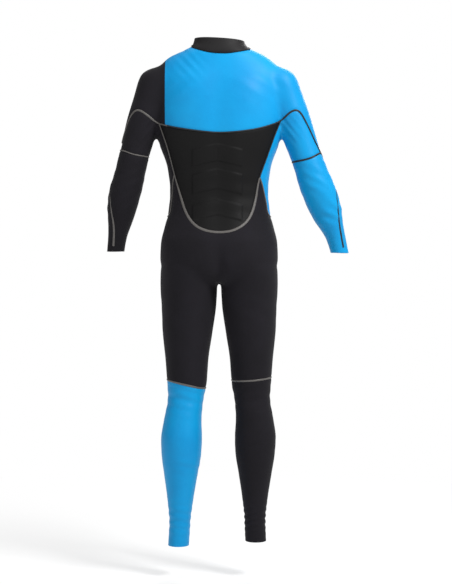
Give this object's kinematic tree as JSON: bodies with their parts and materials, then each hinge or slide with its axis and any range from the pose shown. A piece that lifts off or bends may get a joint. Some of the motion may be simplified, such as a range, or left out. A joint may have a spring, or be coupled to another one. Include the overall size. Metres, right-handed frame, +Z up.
{
  "type": "full wetsuit",
  "caption": "Full-length two-colour neoprene wetsuit in worn shape, with welded seams, knee pads, bonded hems and a curved chest zip.",
  "frame": {"origin": "between the shoulders at the base of the neck, inside the suit, where the wearer or a hanger holds it up", "axes": "+Z up from ankles to collar, +Y the way the wearer faces, +X towards the wearer's right arm"},
  "size_m": [0.711, 0.2415, 1.4792],
  "materials": {
    "black_neoprene": "nylon jersey bonded to black neoprene, matt",
    "blue_neoprene": "nylon jersey bonded to neoprene, bright blue, matt",
    "smooth_panel": "embossed black stretch panel, slightly slick",
    "seam_tape": "welded grey liquid tape, satin",
    "dark_tape": "welded black liquid tape, satin",
    "zip_plastic": "moulded black zip",
    "pad_rubber": "printed black knee rubber, matt"
  },
  "bodies": {
    "torso": {"collar": "smooth_panel", "yoke_panel": "blue_neoprene", "chest_panel": "smooth_panel", "back_panel": "smooth_panel", "belly_panel": "black_neoprene", "left_side_panel": "black_neoprene", "right_side_panel": "blue_neoprene", "hip_panel": "black_neoprene", "yoke_seam": "dark_tape", "chest_seam": "seam_tape", "collar_seam": "seam_tape", "back_panel_seam": "seam_tape", "belly_seam": "seam_tape", "left_side_seam": "seam_tape", "right_side_seam": "seam_tape", "left_shoulder_panel": "black_neoprene", "right_shoulder_panel": "blue_neoprene", "left_upper_thigh_panel": "black_neoprene", "right_upper_thigh_panel": "black_neoprene", "zip_tape": "zip_plastic", "zip_teeth": "zip_plastic", "zip_left_stop": "zip_plastic", "zip_right_stop": "zip_plastic"},
    "left_upper_arm": {"left_upper_sleeve": "black_neoprene", "left_sleeve_seam": "seam_tape", "left_elbow_seam": "seam_tape"},
    "left_forearm": {"left_elbow_panel": "black_neoprene", "left_forearm_panel": "black_neoprene", "left_forearm_seam": "seam_tape", "left_wrist_hem": "black_neoprene"},
    "left_thigh": {"left_lower_thigh_panel": "black_neoprene", "left_knee_seam": "seam_tape"},
    "left_shin": {"left_knee_panel": "blue_neoprene", "left_knee_pad": "pad_rubber", "left_calf_panel": "blue_neoprene", "left_ankle_hem": "blue_neoprene"},
    "right_upper_arm": {"right_upper_sleeve": "blue_neoprene", "right_sleeve_seam": "dark_tape", "right_elbow_seam": "dark_tape"},
    "right_forearm": {"right_elbow_panel": "blue_neoprene", "right_forearm_panel": "blue_neoprene", "right_forearm_seam": "dark_tape", "right_wrist_hem": "blue_neoprene"},
    "right_thigh": {"right_lower_thigh_panel": "black_neoprene", "right_knee_seam": "seam_tape"},
    "right_shin": {"right_knee_panel": "black_neoprene", "right_knee_pad": "pad_rubber", "right_calf_panel": "black_neoprene", "right_ankle_hem": "black_neoprene"},
    "zip_slider": {"zip_slider": "zip_plastic"},
    "zip_pull": {"zip_pull": "pad_rubber"}
  },
  "joints": [
    {"name": "left_shoulder", "type": "hinge", "parent": "torso", "child": "left_upper_arm", "pos_m": [-0.187, -0.009, -0.075], "axis": [1, 0, 0], "range_deg": [-25, 60], "stiffness_Nm_per_rad": 3, "deforming": ["left_shoulder_panel"]},
    {"name": "left_elbow", "type": "hinge", "parent": "left_upper_arm", "child": "left_forearm", "pos_m": [-0.266, -0.002, -0.327], "axis": [1, 0, 0], "range_deg": [0, 100], "stiffness_Nm_per_rad": 1.5, "deforming": ["left_elbow_panel"]},
    {"name": "left_hip", "type": "hinge", "parent": "torso", "child": "left_thigh", "pos_m": [-0.09, -0.005, -0.65], "axis": [1, 0, 0], "range_deg": [-10, 60], "stiffness_Nm_per_rad": 5, "deforming": ["left_upper_thigh_panel"]},
    {"name": "left_knee", "type": "hinge", "parent": "left_thigh", "child": "left_shin", "pos_m": [-0.101, -0.012, -0.99], "axis": [-1, 0, 0], "range_deg": [0, 90], "stiffness_Nm_per_rad": 3, "deforming": ["left_knee_panel", "left_knee_pad"]},
    {"name": "right_shoulder", "type": "hinge", "parent": "torso", "child": "right_upper_arm", "pos_m": [0.187, -0.009, -0.075], "axis": [1, 0, 0], "range_deg": [-25, 60], "stiffness_Nm_per_rad": 3, "deforming": ["right_shoulder_panel"]},
    {"name": "right_elbow", "type": "hinge", "parent": "right_upper_arm", "child": "right_forearm", "pos_m": [0.281, -0.002, -0.333], "axis": [1, 0, 0], "range_deg": [0, 100], "stiffness_Nm_per_rad": 1.5, "deforming": ["right_elbow_panel"]},
    {"name": "right_hip", "type": "hinge", "parent": "torso", "child": "right_thigh", "pos_m": [0.09, -0.005, -0.65], "axis": [1, 0, 0], "range_deg": [-10, 60], "stiffness_Nm_per_rad": 5, "deforming": ["right_upper_thigh_panel"]},
    {"name": "right_knee", "type": "hinge", "parent": "right_thigh", "child": "right_shin", "pos_m": [0.1, -0.012, -0.99], "axis": [-1, 0, 0], "range_deg": [0, 90], "stiffness_Nm_per_rad": 3, "deforming": ["right_knee_panel", "right_knee_pad"]},
    {"name": "zip_travel", "type": "hinge", "parent": "torso", "child": "zip_slider", "pos_m": [0, -0.1865, -0.095], "axis": [0, 0, 1], "range_deg": [0, 27.2]},
    {"name": "zip_pull_turn", "type": "hinge", "parent": "zip_slider", "child": "zip_pull", "pos_m": [0.07063, 0.10548, -0.095], "axis": [0, 0, -1], "range_deg": [0, 150]}
  ]
}
